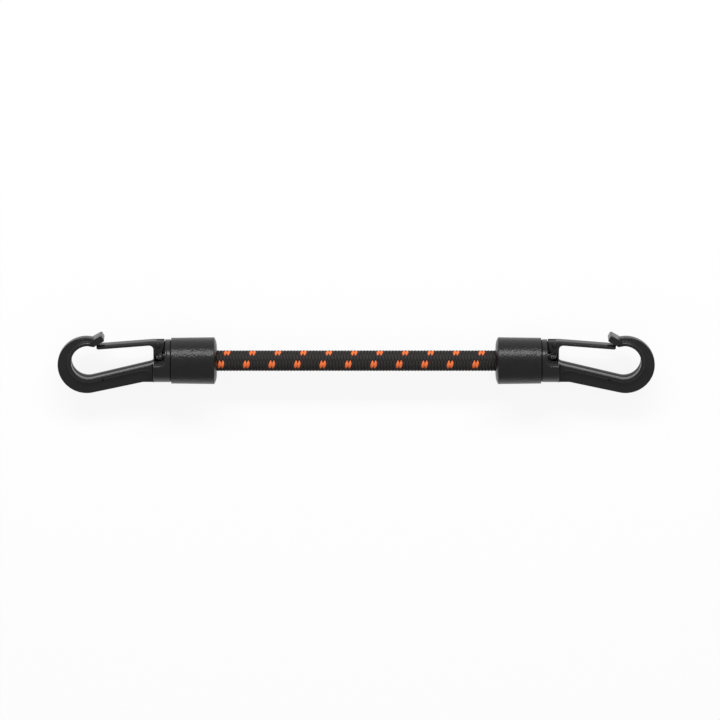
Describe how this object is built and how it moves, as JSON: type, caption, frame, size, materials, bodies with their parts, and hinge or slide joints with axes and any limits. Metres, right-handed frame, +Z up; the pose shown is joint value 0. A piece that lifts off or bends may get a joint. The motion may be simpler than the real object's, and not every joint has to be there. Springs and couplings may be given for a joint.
{
  "type": "bungee cord",
  "caption": "Short elastic cord with a braided black and orange sheath and a moulded snap hook with a sprung gate clamped on each end.",
  "frame": {"origin": "bottom centre of the cord's box as it lies on a table, midway between the hooks", "axes": "+X along the cord to the right hook, +Y in the plane of the hooks towards their gates, +Z up"},
  "size_m": [0.25, 0.0254, 0.0197],
  "materials": {
    "hook_nylon": "satin moulded black nylon",
    "grained_nylon": "spark-grained black nylon",
    "pin_steel": "blackened steel",
    "spring_steel": "oiled spring wire",
    "braid": "braided polyester, black with orange flecks",
    "latex": "natural latex"
  },
  "bodies": {
    "left_end": {"left_hook_body": "hook_nylon", "left_clamp_sleeve": "grained_nylon", "left_gate_pin": "pin_steel", "left_gate_spring": "spring_steel", "cord_sheath": "braid", "rubber_strand_01": "latex", "rubber_strand_02": "latex", "rubber_strand_03": "latex", "rubber_strand_04": "latex", "rubber_strand_05": "latex", "rubber_strand_06": "latex", "rubber_strand_07": "latex", "rubber_strand_08": "latex", "rubber_strand_09": "latex", "rubber_strand_10": "latex", "rubber_strand_11": "latex", "rubber_strand_12": "latex", "rubber_strand_13": "latex", "rubber_strand_14": "latex", "rubber_strand_15": "latex", "rubber_strand_16": "latex", "rubber_strand_17": "latex", "rubber_strand_18": "latex", "rubber_strand_19": "latex"},
    "left_gate_arm": {"left_gate": "hook_nylon"},
    "right_end": {"right_hook_body": "hook_nylon", "right_clamp_sleeve": "grained_nylon", "right_gate_pin": "pin_steel", "right_gate_spring": "spring_steel"},
    "right_gate_arm": {"right_gate": "hook_nylon"}
  },
  "joints": [
    {"name": "cord_stretch", "type": "slide", "parent": "left_end", "child": "right_end", "axis": [1, 0, 0], "range_m": [0, 0.09], "stiffness_N_per_m": 1500, "deforming": ["cord_sheath", "rubber_strand_01", "rubber_strand_02", "rubber_strand_03", "rubber_strand_04", "rubber_strand_05", "rubber_strand_06", "rubber_strand_07", "rubber_strand_08", "rubber_strand_09", "rubber_strand_10", "rubber_strand_11", "rubber_strand_12", "rubber_strand_13", "rubber_strand_14", "rubber_strand_15", "rubber_strand_16", "rubber_strand_17", "rubber_strand_18", "rubber_strand_19"]},
    {"name": "left_gate_hinge", "type": "hinge", "parent": "left_end", "child": "left_gate_arm", "pos_m": [-0.0829, 0.0083, 0.00983], "axis": [0, 0, 1], "range_deg": [0, 24], "stiffness_Nm_per_rad": 0.15, "springref_deg": -14.9, "deforming": ["left_gate_spring"]},
    {"name": "right_gate_hinge", "type": "hinge", "parent": "right_end", "child": "right_gate_arm", "pos_m": [0.0829, 0.0083, 0.00983], "axis": [0, 0, -1], "range_deg": [0, 24], "stiffness_Nm_per_rad": 0.15, "springref_deg": -14.9, "deforming": ["right_gate_spring"]}
  ]
}
